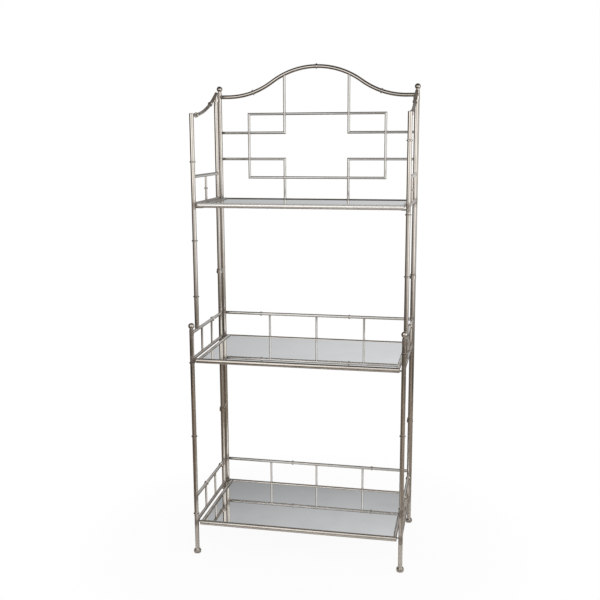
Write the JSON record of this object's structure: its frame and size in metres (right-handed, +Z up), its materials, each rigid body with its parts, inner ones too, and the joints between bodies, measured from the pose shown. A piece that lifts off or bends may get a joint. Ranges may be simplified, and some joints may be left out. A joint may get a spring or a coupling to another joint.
{
  "type": "bakers rack",
  "caption": "Folding metal bakers rack with an arched back, Greek-key fret, mirrored lift-up shelves, hinged side panels, ball finials and bun feet.",
  "frame": {"origin": "on the floor, under the middle of the bounding box", "axes": "+Z up; the front of the rack faces -Y; +X to the right as seen from the front"},
  "size_m": [0.791, 0.4419, 1.814],
  "materials": {
    "antique_silver": "antique silver paint with a warm brown wash, satin",
    "mirror_glass": "polished mirror glass",
    "bare_steel": "turned steel"
  },
  "bodies": {
    "back_panel": {"left_back_post": "antique_silver", "right_back_post": "antique_silver", "back_finials": "antique_silver", "back_feet": "antique_silver", "arch_rail": "antique_silver", "arch_rings": "antique_silver", "lower_back_rail": "antique_silver", "middle_back_rail": "antique_silver", "upper_back_rail": "antique_silver", "lower_back_gallery_rail": "antique_silver", "middle_back_gallery_rail": "antique_silver", "back_spindles": "antique_silver", "back_gallery_rings": "antique_silver", "left_upper_fret": "antique_silver", "right_upper_fret": "antique_silver", "left_lower_fret": "antique_silver", "right_lower_fret": "antique_silver", "fret_rectangle": "antique_silver", "shelf_hinge_lugs": "antique_silver", "left_hinge_eyes": "antique_silver", "right_hinge_eyes": "antique_silver"},
    "left_side": {"left_rear_post": "antique_silver", "left_lower_front_post": "antique_silver", "left_upper_front_post": "antique_silver", "left_front_finial": "antique_silver", "left_front_foot": "antique_silver", "left_scroll_rail": "antique_silver", "left_gallery_rails": "antique_silver", "left_shelf_rails": "antique_silver", "left_spindles": "antique_silver", "left_rings": "antique_silver", "left_pegs": "antique_silver"},
    "right_side": {"right_rear_post": "antique_silver", "right_lower_front_post": "antique_silver", "right_upper_front_post": "antique_silver", "right_front_finial": "antique_silver", "right_front_foot": "antique_silver", "right_scroll_rail": "antique_silver", "right_gallery_rails": "antique_silver", "right_shelf_rails": "antique_silver", "right_spindles": "antique_silver", "right_rings": "antique_silver", "right_pegs": "antique_silver"},
    "lower_shelf": {"lower_shelf_front_tube": "antique_silver", "lower_shelf_side_tubes": "antique_silver", "lower_shelf_ledge": "antique_silver", "lower_shelf_mirror": "mirror_glass", "lower_shelf_pins": "bare_steel"},
    "middle_shelf": {"middle_shelf_front_tube": "antique_silver", "middle_shelf_side_tubes": "antique_silver", "middle_shelf_ledge": "antique_silver", "middle_shelf_mirror": "mirror_glass", "middle_shelf_pins": "bare_steel"},
    "upper_shelf": {"upper_shelf_front_tube": "antique_silver", "upper_shelf_side_tubes": "antique_silver", "upper_shelf_ledge": "antique_silver", "upper_shelf_mirror": "mirror_glass", "upper_shelf_pins": "bare_steel"}
  },
  "joints": [
    {"name": "lower_shelf_hinge", "type": "hinge", "parent": "back_panel", "child": "lower_shelf", "pos_m": [0, 0.187, 0.1225], "axis": [-1, 0, 0], "range_deg": [0, 90]},
    {"name": "middle_shelf_hinge", "type": "hinge", "parent": "back_panel", "child": "middle_shelf", "pos_m": [0, 0.187, 0.7475], "axis": [-1, 0, 0], "range_deg": [0, 90]},
    {"name": "upper_shelf_hinge", "type": "hinge", "parent": "back_panel", "child": "upper_shelf", "pos_m": [0, 0.187, 1.3025], "axis": [-1, 0, 0], "range_deg": [0, 90]},
    {"name": "left_side_hinge", "type": "hinge", "parent": "back_panel", "child": "left_side", "pos_m": [-0.3815, 0.155, 1.0175], "axis": [0, 0, -1], "range_deg": [0, 90]},
    {"name": "right_side_hinge", "type": "hinge", "parent": "back_panel", "child": "right_side", "pos_m": [0.3815, 0.155, 1.0175], "axis": [0, 0, 1], "range_deg": [0, 90]}
  ]
}
